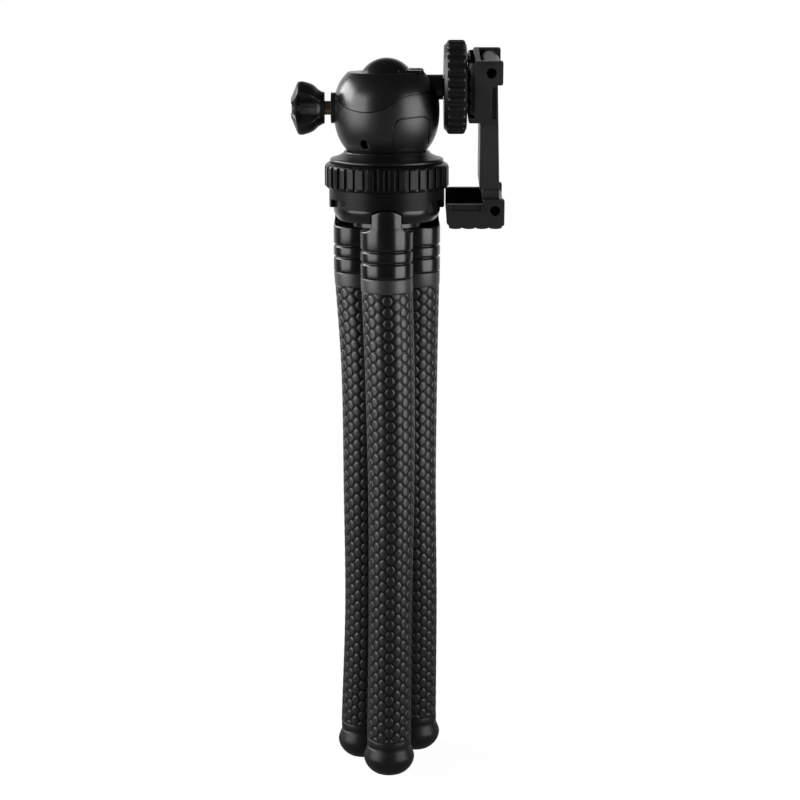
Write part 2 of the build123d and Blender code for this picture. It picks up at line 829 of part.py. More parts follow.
def bar_sleeve():
    """The flat bar from the base jaw: a tapered sleeve with a slot for the sliding bar."""
    inner = upper_pivot_x - base_jaw_back + jaw_floor + bar_inner_gap
    half = clamp_width / 2 - clamp_wall - clamp_side_gap
    top = upper_pivot_w + bar_knuckle_radius
    side = Polyline(
        (inner, bar_seam_w),
        (inner + bar_bottom_thickness, bar_seam_w),
        (inner + bar_top_thickness, upper_pivot_w),
        (upper_pivot_x, upper_pivot_w),
        (upper_pivot_x, top),
        (inner, top),
        (inner, bar_seam_w),
    )
    outline = make_face(side)
    corner = outline.vertices().group_by(Axis.Y)[-1].sort_by(Axis.X)[0]
    outline = fillet(corner, bar_knuckle_radius - running_gap)
    knuckle = Pos(upper_pivot_x, upper_pivot_w) * Circle(bar_knuckle_radius)
    body = extrude(Plane.XZ * (outline + knuckle), half, both=True)
    back = inner + slide_back_gap
    gap = slide_clearance
    slot = block(
        back - gap,
        back + slide_thickness + gap,
        -slide_half_width - gap,
        slide_half_width + gap,
        bar_seam_w - cut_over,
        upper_pivot_w - bar_knuckle_radius,
    )
    body -= slot
    pin = rod_y(pivot_radius, -clamp_width, clamp_width, upper_pivot_x, upper_pivot_w)
    return clamp_frame * (body - pin)


def slide_bar():
    """The bar that slides out of the sleeve, with the knuckle for the far jaw."""
    inner = upper_pivot_x - base_jaw_back + jaw_floor + bar_inner_gap
    half = clamp_width / 2 - clamp_wall - clamp_side_gap
    back = inner + slide_back_gap
    top = bar_seam_w + slide_overlap
    knuckle_top = bar_seam_w - running_gap
    low = knuckle_top - cut_over
    front = back + slide_thickness
    tongue_bar = block(back, front, -slide_half_width, slide_half_width, low, top)
    end_x = inner + bar_bottom_thickness
    start_x = end_x - far_knuckle_thickness
    knuckle = block(start_x, end_x, -half, half, lower_pivot_w + pivot_radius, knuckle_top)
    knuckle += rod_y(far_knuckle_radius, -half, half, lower_pivot_x, lower_pivot_w)
    gap = spring_radius + slide_clearance
    for y in (-spring_offset, spring_offset):
        tongue_bar -= block(
            back - cut_over,
            back + slide_thickness + cut_over,
            y - gap,
            y + gap,
            top - spring_sink,
            top + cut_over,
        )
    pin = rod_y(pivot_radius, -clamp_width, clamp_width, lower_pivot_x, lower_pivot_w)
    return clamp_frame * (tongue_bar + knuckle - pin)


def return_springs():
    """The two springs that draw the sliding bar back, each drawn as a plain sleeve of its wire."""
    inner = upper_pivot_x - base_jaw_back + jaw_floor + bar_inner_gap
    x = inner + slide_back_gap + slide_thickness / 2
    low = bar_seam_w + slide_overlap - spring_sink + slide_clearance
    high = upper_pivot_w - bar_knuckle_radius
    coils = None
    for y in (-spring_offset, spring_offset):
        coil = rod_z(spring_radius, low, high, x, y)
        coil -= rod_z(spring_radius - spring_wire, low - cut_over, high + cut_over, x, y)
        coils = coil if coils is None else coils + coil
    return clamp_frame * coils


def far_jaw():
    """The jaw at the far end of the bar, swung out square to it."""
    shape = jaw(far_jaw_reach, far_jaw_heel, far_jaw_back, far_jaw_floor)
    return clamp_frame * (far_jaw_plane.location * shape)


def far_jaw_pad():
    """The rubber pad on the back of the far jaw."""
    pad = jaw_pad(far_jaw_reach, far_jaw_heel, far_jaw_back, far_pad_thickness)
    return clamp_frame * (far_jaw_plane.location * pad)


def build_nodes():
    """Every sub-part by its name."""
    lower, upper = housing_halves()
    nodes = {
        "hub_body": hub_body(),
        "hub_skirt": hub_skirt(),
        "pan_lock_ring": grip_ring(),
        "head_flange": head_flange(),
        "friction_washer": friction_washer(),
        "centre_bolt": head_bolt(),
        "housing_lower": lower,
        "housing_cover": upper,
        "ball_cup": ball_cup(),
        "housing_set_screw": set_screw(),
        "clamp_screw": clamp_screw(),
        "clamp_knob": clamp_knob(),
        "ball_stem": ball_stem(),
        "camera_screw": camera_stud(),
        "lock_wheel": lock_wheel(),
        "base_jaw": base_jaw(),
        "base_jaw_pad": base_jaw_pad(),
        "base_jaw_insert": nut_insert(),
        "base_jaw_pin": pivot_pin(upper_pivot_x, upper_pivot_w),
        "bar_sleeve": bar_sleeve(),
        "slide_bar": slide_bar(),
        "return_springs": return_springs(),
        "far_jaw": far_jaw(),
        "far_jaw_pad": far_jaw_pad(),
        "far_jaw_pin": pivot_pin(lower_pivot_x, lower_pivot_w),
    }
    stretch_names = ["top", "upper", "middle", "lower"]
    for leg in leg_angles:
        nodes[f"{leg}_leg_cap"] = cap(leg)
        nodes[f"{leg}_leg_foot"] = foot(leg)
        for station, stretch in enumerate(stretch_names):
            nodes[f"{leg}_leg_sleeve_{stretch}"] = sleeve(leg, station)
            nodes[f"{leg}_leg_core_{stretch}"] = core(leg, station)
    return nodes


for node_name, node_shape in build_nodes().items():
    node_shape.label = node_name
    export_step(node_shape, f"parts/{node_name}.step")
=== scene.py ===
"""The looks of a pocket tripod with bendable rubber legs, in metres, in the frame of its CAD model."""

import json
import math

import bmesh
import bpy
from mathutils import Euler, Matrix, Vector


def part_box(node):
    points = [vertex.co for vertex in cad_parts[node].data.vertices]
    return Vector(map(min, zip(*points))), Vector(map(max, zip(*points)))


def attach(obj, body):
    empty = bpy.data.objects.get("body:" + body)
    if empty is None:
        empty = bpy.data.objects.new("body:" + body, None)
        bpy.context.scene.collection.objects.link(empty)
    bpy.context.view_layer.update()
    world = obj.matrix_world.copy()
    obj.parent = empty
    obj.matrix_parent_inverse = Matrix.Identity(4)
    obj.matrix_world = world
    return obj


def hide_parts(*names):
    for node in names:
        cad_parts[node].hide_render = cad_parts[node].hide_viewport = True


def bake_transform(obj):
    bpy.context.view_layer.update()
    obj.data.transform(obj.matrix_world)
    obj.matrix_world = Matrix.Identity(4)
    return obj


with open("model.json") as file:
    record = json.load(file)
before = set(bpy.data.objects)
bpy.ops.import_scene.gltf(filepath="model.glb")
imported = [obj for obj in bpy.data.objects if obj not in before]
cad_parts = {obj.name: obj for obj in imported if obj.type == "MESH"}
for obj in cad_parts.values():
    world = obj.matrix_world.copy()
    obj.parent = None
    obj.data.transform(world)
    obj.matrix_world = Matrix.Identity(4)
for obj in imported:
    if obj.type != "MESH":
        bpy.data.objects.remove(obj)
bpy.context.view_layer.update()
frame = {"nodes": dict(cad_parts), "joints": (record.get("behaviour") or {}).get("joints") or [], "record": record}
nodes = frame["nodes"]
joints = {joint["name"]: joint for joint in frame["joints"]}
mm = 0.001

# Legs: the circle on which they stand under the caps
LEGS = ("front", "left", "right")
BENDS = ("upper", "middle", "lower")
LEG_CIRCLE = 11.5 * mm
# The sleeve's radius at the cap, at the three bends and at the foot
SLEEVE_RADII = (9.3 * mm, 8.95 * mm, 8.4 * mm, 7.95 * mm, 8.1 * mm)
# Where each sleeve's first column of pads lies round its leg
SEAM_ANGLES = {"front": math.radians(-90), "left": math.radians(-92), "right": math.radians(-88)}

# Rubber sleeves: raised oval pads in a six-sided grid, with grooves between them and a band above
COLUMNS = 18
ROW_PITCH = 4.13 * mm
ROW_PHASE = 0.61
BAND_HEIGHT = 5.0 * mm
BAND_STEP = 0.25 * mm
GROOVE_DEPTH = 0.17 * mm
PAD_CROWN = 0.02 * mm
HEX_TOP_SHARE = 0.256
OVAL_SHARE = 0.62
# Each ring of a pad: its share of the cell, how far it is an oval, and its share of the groove's depth.
# Below nought, the last is a share of the pad's crown.
PAD_RINGS = ((1.0, 0.0, 0.8), (0.91, 0.5, 1.0), (0.85, 0.85, 0.6), (0.78, 0.97, 0.06), (0.45, 1.0, -1.0))

# Camera: where it stands, how far it looks down, its lens on a 36 mm sensor, and the depths it sees
CAMERA_PLACE = (4.7775 * mm, -865.795 * mm, 307.241 * mm)
CAMERA_DOWN = math.radians(11)
CAMERA_LENS = 108
CAMERA_RANGE = (0.01, 20)

# Floor: its radius, the strength of its glow, the glow's share beside the lit surface, and the part
# of the glow that the object mirrors
FLOOR_RADIUS = 0.45
FLOOR_GLOW = 1.05
FLOOR_GLOW_SHARE = 0.92
FLOOR_LEVEL = 0.15

# Room: its level in front of the object, and the strength with which the white backdrop behind the
# object lights it. Going by a direction's Y, the backdrop starts at the first value and is full at the
# second. Going by its Z, it starts to fade at the first and ends at the second.
ROOM_LEVEL = 0.06
BACKDROP_LIGHT = 0.5
BACKDROP_SIDES = (0.3, 0.95)
BACKDROP_TOP = (0.30, 0.70)

# Lamps: azimuth from the camera's side in degrees, lower and upper edge, width, and radiance
LAMP_DISTANCE = 0.85
SOFTBOXES = {
    "left_softbox": (-66, -0.02, 0.60, 0.72, 4.2),
    "back_left_softbox": (-108, 0.34, 0.74, 0.75, 9.0),
    "right_softbox": (62, -0.10, 0.55, 0.70, 4.3),
}


def link(obj):
    bpy.context.scene.collection.objects.link(obj)
    return obj


def mesh_object(name, bm, material, smooth=True):
    """A new object from a bmesh, with one material."""
    bmesh.ops.recalc_face_normals(bm, faces=bm.faces)
    mesh = bpy.data.meshes.new(name)
    bm.to_mesh(mesh)
    bm.free()
    for polygon in mesh.polygons:
        polygon.use_smooth = smooth
    mesh.materials.append(material)
    return link(bpy.data.objects.new(name, mesh))


def join_rings(bm, rings):
    """Faces between closed rings of vertices. A ring of one vertex closes an end."""
    steps = max(len(ring) for ring in rings)
    for a, b in zip(rings, rings[1:]):
        for n in range(steps):
            m = (n + 1) % steps
            corners = (a[n % len(a)], a[m % len(a)], b[m % len(b)], b[n % len(b)])
            bm.faces.new(list(dict.fromkeys(corners)))


def settle(piece, body, replaced):
    """Lets a finished piece ride on its body, in the place of a CAD node."""
    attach(piece, body)
    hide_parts(replaced)


def smooth_between(value, start, end):
    """Nought before start, one after end, and a smooth rise between them."""
    t = min(max((value - start) / (end - start), 0), 1)
    return t * t * (3 - 2 * t)


# Materials: samples of the edge node and of the node that paints shade into each crevice, and the fine grain's
# share in the roughness
EDGE_SAMPLES = 6
GRAIN_SHARE = 0.25


def shader(name, **inputs):
    """A new material and the tools to build its nodes. Inputs are set on the shader's own sockets."""
    material = bpy.data.materials.new(name)
    material.use_nodes = True
    tree = material.node_tree
    bsdf = tree.nodes["Principled BSDF"]
    for key, value in inputs.items():
        bsdf.inputs[key.replace("_", " ")].default_value = value
    return material, tree, bsdf


def add(tree, kind, **settings):
    node = tree.nodes.new(kind)
    for key, value in settings.items():
        setattr(node, key, value)
    return node


def noise(tree, scale, detail):
    """Noise that stays with the object."""
    texture = add(tree, "ShaderNodeTexNoise")
    texture.inputs["Scale"].default_value = scale
    texture.inputs["Detail"].default_value = detail
    place = add(tree, "ShaderNodeTexCoord").outputs["Object"]
    tree.links.new(place, texture.inputs["Vector"])
    return texture.outputs["Fac"]


def ramp(tree, source, low, high, start=0.3, end=0.7):
    """Maps a grey value to two colours, or to two numbers given as greys."""
    node = add(tree, "ShaderNodeValToRGB")
    for stop, position, value in zip(node.color_ramp.elements, (start, end), (low, high)):
        stop.position = position
        stop.color = value if hasattr(value, "__len__") else (value, value, value, 1)
    tree.links.new(source, node.inputs["Fac"])
    return node.outputs["Color"]


def bump(tree, height, strength, distance, below=None):
    node = add(tree, "ShaderNodeBump")
    node.inputs["Strength"].default_value = strength
    node.inputs["Distance"].default_value = distance
    tree.links.new(height, node.inputs["Height"])
    if below is not None:
        tree.links.new(below, node.inputs["Normal"])
    return node.outputs["Normal"]


def math_node(tree, operation, a, b):
    """One operation on two values, each an output of a node or a number."""
    node = add(tree, "ShaderNodeMath", operation=operation)
    for socket, value in zip(node.inputs, (a, b)):
        if isinstance(value, float):
            socket.default_value = value
        else:
            tree.links.new(value, socket)
    return node.outputs["Value"]


def scaled(tree, value, factor):
    return math_node(tree, "MULTIPLY", value, factor)


def smooth_step(tree, value, start, end, low=0.0, high=1.0):
    node = add(tree, "ShaderNodeMapRange", interpolation_type="SMOOTHSTEP")
    for key, number in {"From Min": start, "From Max": end, "To Min": low, "To Max": high}.items():
        node.inputs[key].default_value = number
    tree.links.new(value, node.inputs["Value"])
    return node.outputs["Result"]


def soft_edges(tree, radius):
    node = add(tree, "ShaderNodeBevel", samples=EDGE_SAMPLES)
    node.inputs["Radius"].default_value = radius
    return node.outputs["Normal"]


def painted_crevice_shade(tree, reach):
    """Painted shade: one in the open, down to nought in seams, slots and holes, read from an occlusion node."""
    node = add(tree, "ShaderNodeAmbientOcclusion", samples=EDGE_SAMPLES)
    node.inputs["Distance"].default_value = reach
    return smooth_step(tree, node.outputs["AO"], 0.25, 0.85)


def grey(level, warm=0.0):
    return (level * (1 + warm), level, level * (1 - warm), 1)


def moulded(name, level, rough, grain, grain_depth, shine=0.5, edge=0.25 * mm, warm=0.0, **inputs):
    """Moulded or lacquered finish: fine grain, slow stains, soft edges, and painted shade that dulls the shine in
    seams, slots and holes.
    """
    material, tree, bsdf = shader(name, **inputs)
    slow = noise(tree, 90, 3)
    fine = noise(tree, grain, 6)
    worn = grey(level * 1.25, warm)
    wear = math_node(tree, "ADD", scaled(tree, slow, 1 - GRAIN_SHARE), scaled(tree, fine, GRAIN_SHARE))
    relief = bump(tree, fine, 0.5, grain_depth, soft_edges(tree, edge))
    # Painted shade: the shine fades in seams, slots and holes.
    tree.links.new(scaled(tree, painted_crevice_shade(tree, 0.7 * mm), shine), bsdf.inputs["Specular IOR Level"])
    tree.links.new(ramp(tree, slow, grey(level * 0.8, warm), worn), bsdf.inputs["Base Color"])
    tree.links.new(ramp(tree, wear, rough - 0.04, rough + 0.05), bsdf.inputs["Roughness"])
    tree.links.new(relief, bsdf.inputs["Normal"])
    return material


def rubber(name, top, rough, shine, groove_shade=None, **inputs):
    """Rubber: a fine grain and slow stains, and where a level for the grooves is given, painted shade that makes
    the grooves dark and dull.
    """
    material, tree, bsdf = shader(name, Specular_IOR_Level=shine, **inputs)
    fine = noise(tree, 2600, 5)
    slow = noise(tree, 160, 3)
    if groove_shade is None:
        base = ramp(tree, slow, grey(top * 0.85, 0.02), grey(top * 1.1, 0.02))
    else:
        relief = add(tree, "ShaderNodeAttribute", attribute_type="GEOMETRY", attribute_name="relief")
        height = relief.outputs["Fac"]
        # Painted shade: the relief mask turns the grooves between the pads near black and takes most of their
        # shine.
        base = ramp(tree, height, grey(groove_shade), grey(top, 0.02), 0.1, 0.85)
        gloss = smooth_step(tree, height, 0.25, 0.95, 0.42 * shine, shine)
        tree.links.new(gloss, bsdf.inputs["Specular IOR Level"])
    tint = add(tree, "ShaderNodeMix", data_type="RGBA", blend_type="MULTIPLY")
    tint.inputs["Factor"].default_value = 1.0
    tree.links.new(base, tint.inputs["A"])
    tree.links.new(ramp(tree, slow, 0.78, 1.0), tint.inputs["B"])
    tree.links.new(tint.outputs["Result"], bsdf.inputs["Base Color"])
    tree.links.new(ramp(tree, fine, rough - 0.08, rough + 0.08), bsdf.inputs["Roughness"])
    tree.links.new(bump(tree, fine, 0.35, 0.05 * mm), bsdf.inputs["Normal"])
    return material


def make_metals():
    """Metals and lacquers: name, level, roughness, scale of the grain and its depth."""
    return {
        "gloss_metal": moulded("gloss_lacquer", 0.005, 0.22, 3000, 0.0006 * mm, edge=0.5 * mm),
        "satin_metal": moulded("satin_lacquer", 0.006, 0.32, 3500, 0.006 * mm, shine=0.4, warm=0.03),
        "ball_metal": moulded("ball_lacquer", 0.005, 0.26, 3000, 0.001 * mm),
        "steel": moulded("dark_zinc", 0.01, 0.35, 2500, 0.01 * mm),
        "bronze_screw": moulded("dull_brass", 0.22, 0.34, 2500, 0.01 * mm, warm=0.35, Metallic=1.0),
        "core_aluminium": moulded("soft_wire", 0.6, 0.4, 2500, 0.01 * mm, Metallic=1.0),
        "housing_lacquer": moulded(
            "housing_lacquer", 0.006, 0.37, 3500, 0.006 * mm, shine=0.65, warm=0.03
        ),
        "cover_lacquer": moulded("cover_lacquer", 0.005, 0.28, 3500, 0.0008 * mm, shine=0.62),
        "flange_lacquer": moulded(
            "flange_lacquer", 0.005, 0.32, 3500, 0.006 * mm, shine=0.4, edge=0.1 * mm, warm=0.03
        ),
        # Painted shade: near black and almost without shine, so that the pins in their holes read as deep shade;
        # the camera screw is painted the same.
        "painted_shade_pin": moulded("painted_shade_pin", 0.002, 0.5, 2200, 0.01 * mm, shine=0.02),
        "cap_lacquer": moulded("cap_lacquer", 0.005, 0.22, 3000, 0.0006 * mm, edge=0.15 * mm),
    }


def make_plastics():
    """Moulded plastics: name, level, roughness, scale of the grain and its depth."""
    return {
        "body_plastic": moulded("body_moulding", 0.004, 0.36, 2200, 0.012 * mm, shine=0.13),
        "knob_plastic": moulded("knob_moulding", 0.005, 0.40, 1800, 0.02 * mm, shine=0.4),
        "clamp_plastic": moulded("clamp_moulding", 0.018, 0.45, 1800, 0.03 * mm, shine=0.36),
        "washer": moulded("acetal", 0.01, 0.45, 1500, 0.01 * mm, shine=0.2),
        "ring_moulding": moulded(
            "ring_moulding", 0.004, 0.30, 2200, 0.012 * mm, shine=0.2, edge=0.45 * mm
        ),
        "bar_plastic": moulded("bar_moulding", 0.02, 0.42, 1800, 0.03 * mm, edge=0.4 * mm),
    }


def make_rubbers():
    """Rubbers: name, level and roughness."""
    return {
        # Painted light: the pad rubber is lighter than the other rubbers, to lift the clamp's pads out of the
        # shade of the jaws and the wheel.
        "pad_rubber": rubber("pad_rubber", 0.03, 0.45, shine=0.5),
        "rubber": rubber("leg_rubber", 0.0045, 0.36, shine=0.62, groove_shade=0.001, Sheen_Weight=0.05),
        "collar_rubber": rubber("collar_rubber", 0.014, 0.42, shine=0.65, Sheen_Weight=0.3),
        "plain_rubber": rubber("plain_rubber", 0.008, 0.40, shine=0.3),
    }


# Legs


def outward(leg):
    """The way from the tripod's axis to a leg, square to the axis of its bends."""
    axis = joints[f"{leg}_leg_bend_upper"]["axis"]
    return Vector((-axis[1], axis[0], 0))


def leg_stations(leg):
    """The points of a leg's axis, from its cap down to its foot, read from the joints and the foot."""
    top = outward(leg) * LEG_CIRCLE
    top.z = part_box(f"{leg}_leg_cap")[0].z
    bends = [Vector(joints[f"{leg}_leg_bend_{part}"]["pos_m"]) for part in BENDS]
    foot_low, foot_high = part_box(f"{leg}_leg_foot")
    middle = (foot_low + foot_high) / 2
    return [top] + bends + [Vector((middle.x, middle.y, foot_high.z))]


def leg_curve(leg):
    """A function that gives the leg's centre and radius at a height, smooth through its stations."""
    stations = leg_stations(leg)
    values = [(p.x, p.y, r) for p, r in zip(stations, SLEEVE_RADII)]
    heights = [p.z for p in stations]
    last = len(stations) - 1
    slopes = []
    for n in range(last + 1):
        before, after = max(n - 1, 0), min(n + 1, last)
        rise = heights[after] - heights[before]
        slopes.append([(values[after][k] - values[before][k]) / rise for k in range(3)])

    def at(z):
        n = 0
        while n < last - 1 and z < heights[n + 1]:
            n += 1
        span = heights[n + 1] - heights[n]
        t = (z - heights[n]) / span
        start_share, start_slope = 2 * t**3 - 3 * t**2 + 1, t**3 - 2 * t**2 + t
        end_share, end_slope = 3 * t**2 - 2 * t**3, t**3 - t**2
        result = []
        for k in range(3):
            start = start_share * values[n][k] + start_slope * slopes[n][k] * span
            end = end_share * values[n + 1][k] + end_slope * slopes[n + 1][k] * span
            result.append(start + end)
        return result

    return at


def hexagon(column_width, row_height):
    """Points round one cell, three to each of its six sides."""
    flat = HEX_TOP_SHARE * column_width
    wide = (1 - HEX_TOP_SHARE) * column_width
    half = row_height / 2
    per_side = 3
    corners = [(flat, half), (wide, 0), (flat, -half), (-flat, -half), (-wide, 0), (-flat, half)]
    points = []
    for n, (x, y) in enumerate(corners):
        next_x, next_y = corners[(n + 1) % len(corners)]
        for k in range(per_side):
            points.append((x + (next_x - x) * k / per_side, y + (next_y - y) * k / per_side))
    return points


def rounded(point, oval, column_width, row_height):
    """A point of the cell, drawn in towards the oval that fits inside it."""
    x, y = point
    out = math.hypot(x / (OVAL_SHARE * column_width), 2 * y / row_height)
    return x * (1 - oval + oval / out), y * (1 - oval + oval / out)


def sleeve_piece(name, leg, top, low, edge_top, materials, band):
    """One length of a sleeve, from the cells whose centres lie between two heights."""
    at = leg_curve(leg)
    bm = bmesh.new()
    relief = bm.verts.layers.float.new("relief")
    column_angle = 2 * math.pi / COLUMNS
    cell = hexagon(column_angle, ROW_PITCH)
    rows = int((edge_top - FOOT_TOP) / ROW_PITCH) + 2
    slack = 0.001 * mm

    def vertex(angle, z, depth_share):
        """A vertex of the sleeve's skin. Past the sleeve's edges it is drawn back to them."""
        z = min(max(z, FOOT_TOP), edge_top)
        x, y, radius = at(z)
        if z in (FOOT_TOP, edge_top):
            depth_share = max(depth_share, 0.0)
        depth = GROOVE_DEPTH if depth_share > 0 else PAD_CROWN
        r = radius - depth * depth_share
        v = bm.verts.new((x + r * math.cos(angle), y + r * math.sin(angle), z))
        # The relief also masks the painted shade in the grooves.
        v[relief] = 1 - max(depth_share, 0.0)
        return v

    def add_pad(centre_angle, centre_z):
        rings = []
        for share, oval, depth_share in PAD_RINGS:
            ring = []
            for point in cell:
                x, y = rounded(point, oval, column_angle, ROW_PITCH)
                ring.append(vertex(centre_angle + x * share, centre_z + y * share, depth_share))
            rings.append(ring)
        join_rings(bm, rings)
        middle = vertex(centre_angle, centre_z, PAD_RINGS[-1][2])
        join_rings(bm, [rings[-1], [middle]])

    for column in range(COLUMNS):
        offset = ROW_PHASE - 0.5 * (column % 2)
        for row in range(-1, rows):
            centre_z = edge_top - (row + offset) * ROW_PITCH
            past_edge = max(centre_z - edge_top, FOOT_TOP - centre_z)
            if low <= centre_z < top and past_edge <= ROW_PITCH / 2 - slack:
                add_pad(column * column_angle + SEAM_ANGLES[leg], centre_z)
    if band:
        add_band(bm, relief, at, edge_top, edge_top + BAND_HEIGHT)
    bmesh.ops.remove_doubles(bm, verts=bm.verts, dist=0.004 * mm)
    bmesh.ops.dissolve_degenerate(bm, edges=bm.edges, dist=0.002 * mm)
    piece = mesh_object(name, bm, materials["rubber"])
    if band:
        piece.data.materials.append(materials["collar_rubber"])
        for polygon in piece.data.polygons:
            polygon.material_index = int(polygon.center.z > edge_top + 0.05 * mm)
    return piece


def add_band(bm, relief, at, low, high):
    """The plain band of rubber above the pads, with rounded edges."""
    steps = 72
    profile = (
        (low, -GROOVE_DEPTH),
        (low, -BAND_STEP / 2),
        (low + BAND_STEP / 2, BAND_STEP / 3),
        (low + 2 * BAND_STEP, BAND_STEP / 2),
        (high - 2 * BAND_STEP, BAND_STEP / 2),
        (high - BAND_STEP / 3, BAND_STEP / 3),
        (high, 0),
        (high, -GROOVE_DEPTH),
    )
    rings = []
    for z, lift in profile:
        x, y, radius = at(z)
        r = radius + lift
        ring = []
        for n in range(steps):
            angle = 2 * math.pi * n / steps
            v = bm.verts.new((x + r * math.cos(angle), y + r * math.sin(angle), z))
            v[relief] = 1.0
            ring.append(v)
        rings.append(ring)
    join_rings(bm, rings)


def make_sleeves(leg, materials):
    """A leg's sleeve in three pieces, each laid along the leg's axis over one of its three bends, in place of the
    CAD sleeve and core.
    """
    bends = [joints[f"{leg}_leg_bend_{part}"]["pos_m"] for part in BENDS]
    edge_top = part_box(f"{leg}_leg_cap")[0].z - BAND_HEIGHT
    between = [(above[2] + below[2]) / 2 for above, below in zip(bends, bends[1:])]
    cuts = [edge_top + ROW_PITCH] + between + [FOOT_TOP - ROW_PITCH]
    stretches = (("top", "upper"), ("middle",), ("lower",))
    for n, (x, y, z) in enumerate(bends):
        name = f"{leg}_sleeve_{n + 1}"
        piece = sleeve_piece(name, leg, cuts[n], cuts[n + 1], edge_top, materials, band=n == 0)
        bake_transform(piece)
        replaced = [f"{leg}_leg_{kind}_{part}" for kind in ("sleeve", "core") for part in stretches[n]]
        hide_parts(*replaced)


# Feet: radius and height in mm, from the sole up to the edge under the sleeve
FOOT_PROFILE = (
    (0.0, 0.35),
    (2.5, 0.2),
    (3.8, 0.0),
    (4.6, 0.05),
    (5.6, 0.45),
    (6.8, 1.3),
    (7.9, 2.45),
    (8.7, 3.7),
    (9.15, 4.9),
    (9.34, 5.9),
    (9.35, 6.6),
    (9.22, 7.3),
    (8.95, 8.1),
    (8.6, 9.0),
    (8.3, 9.8),
    (8.08, 10.35),
    (7.85, 10.5),
    (7.85, 10.75),
    (8.08, 10.9),
    (8.15, 11.3),
    (8.15, 13.1),
    (8.02, 13.5),
    (7.7, 13.65),
    (7.3, 13.7),
)
FOOT_TOP = FOOT_PROFILE[-1][1] * mm


def lathe(name, profile, x, y, material, steps=96):
    """A turned piece from radii and heights in mm, about an upright axis."""
    bm = bmesh.new()
    rings = []
    for r, z in profile:
        ring = []
        for n in range(steps if r else 1):
            angle = 2 * math.pi * n / steps
            place = (x + r * mm * math.cos(angle), y + r * mm * math.sin(angle), z * mm)
            ring.append(bm.verts.new(place))
        rings.append(ring)
    join_rings(bm, rings)
    return mesh_object(name, bm, material)


def make_foot(leg, material):
    low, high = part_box(f"{leg}_leg_foot")
    middle = (low + high) / 2
    piece = lathe(f"{leg}_foot", FOOT_PROFILE, middle.x, middle.y, material)
    settle(piece, f"{leg}_leg_lower", f"{leg}_leg_foot")


# Leg caps, in mm: two grooves with rounded lips, and a tongue that runs up flush from the wall
CAP_SIDE = (
    (7.6, 0.0),
    (8.7, 0.0),
    (9.15, 0.12),
    (9.42, 0.4),
    (9.5, 0.85),
    (9.5, 4.75),
    (9.42, 5.1),
    (9.15, 5.35),
    (8.98, 5.55),
    (8.98, 5.7),
    (9.15, 5.9),
    (9.42, 6.15),
    (9.5, 6.5),
    (9.5, 9.05),
    (9.42, 9.4),
    (9.15, 9.65),
    (8.98, 9.85),
    (8.98, 10.0),
    (9.15, 10.2),
    (9.42, 10.45),
    (9.5, 10.8),
    (9.5, 14.6),
)
CAP_HEIGHT = 17.1
CAP_RADIUS = 9.5
CAP_HOLLOW_RADIUS = 6.0
CAP_HOLLOW_DEPTH = 0.01
TONGUE_HALF_WIDTH = 5.45
TONGUE_ROOT = 2.6
TONGUE_INSET = 0.7
TONGUE_BACK = 1.7
TONGUE_CROWN = 1.5
# The inset starts this far below the cap's top and is full this far above it
INSET_REACH = (0.6, 2.6)
# How far in and how far down each point of the rounded top edge lies, and where the wall ends below it
CAP_LIP = ((0.07, 0.42), (0.3, 0.14), (0.75, 0.0))
CAP_LIP_DEPTH = 0.8


def cap_columns(tongue_top):
    """Angles round a cap from the middle of its tongue, each with the height of the cap's edge there."""
    reach = CAP_RADIUS - TONGUE_INSET / 2
    edge = math.asin(TONGUE_HALF_WIDTH / reach)
    root_end = math.asin((TONGUE_HALF_WIDTH + TONGUE_ROOT) / reach)
    steps, far_steps = 12, 60
    tongue = []
    for n in range(-steps, steps + 1):
        tongue.append((edge * n / steps, tongue_top - TONGUE_CROWN * (n / steps) ** 2))
    root = []
    for n in range(steps + 1):
        off = edge + (root_end - edge) * n / steps
        inward = TONGUE_ROOT - reach * math.sin(off) + TONGUE_HALF_WIDTH
        lift = TONGUE_ROOT - math.sqrt(max(TONGUE_ROOT**2 - inward**2, 0))
        root.append((off, CAP_HEIGHT + lift))
    far = 2 * math.pi - 2 * root_end
    plain = [(root_end + far * n / far_steps, CAP_HEIGHT) for n in range(1, far_steps)]
    other_root = [(2 * math.pi - off, top) for off, top in reversed(root)]
    return tongue + root + plain + other_root


def cap_wall(off, top):
    """One upright line of a cap: its outer side, its rounded top edge and the hollow inside."""
    wall = list(CAP_SIDE)
    side_top = CAP_SIDE[-1][1]
    steps = 10
    for n in range(1, steps + 1):
        z = side_top + (top - CAP_LIP_DEPTH - side_top) * n / steps
        inset = smooth_between(z, CAP_HEIGHT - INSET_REACH[0], CAP_HEIGHT + INSET_REACH[1])
        wall.append((CAP_RADIUS - TONGUE_INSET * inset, z))
    r = wall[-1][0]
    wall += [(r - inward, top - down) for inward, down in CAP_LIP]
    inner = TONGUE_BACK / max(math.cos(off), TONGUE_BACK / CAP_HOLLOW_RADIUS)
    return wall + [(inner, top), (inner, CAP_HEIGHT - CAP_HOLLOW_DEPTH)]


def make_cap(leg, material):
    low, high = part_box(f"{leg}_leg_cap")
    around = outward(leg)
    centre = around * LEG_CIRCLE
    out = math.atan2(around.y, around.x)
    bm = bmesh.new()
    grid = []
    for off, top in cap_columns((high.z - low.z) / mm):
        column = []
        for radius, z in cap_wall(off, top):
            x = centre.x + radius * mm * math.cos(out + off)
            y = centre.y + radius * mm * math.sin(out + off)
            column.append(bm.verts.new((x, y, low.z + z * mm)))
        grid.append(column)
    for n, column in enumerate(grid):
        following = grid[(n + 1) % len(grid)]
        for a, b, c, d in zip(column, column[1:], following[1:], following):
            bm.faces.new((a, b, c, d))
    bm.faces.new([column[-1] for column in grid])
    bmesh.ops.dissolve_degenerate(bm, edges=bm.edges, dist=0.001 * mm)
    piece = mesh_object(f"{leg}_cap", bm, material)
    piece.data.set_sharp_from_angle(angle=math.radians(40))
    settle(piece, "base", f"{leg}_leg_cap")


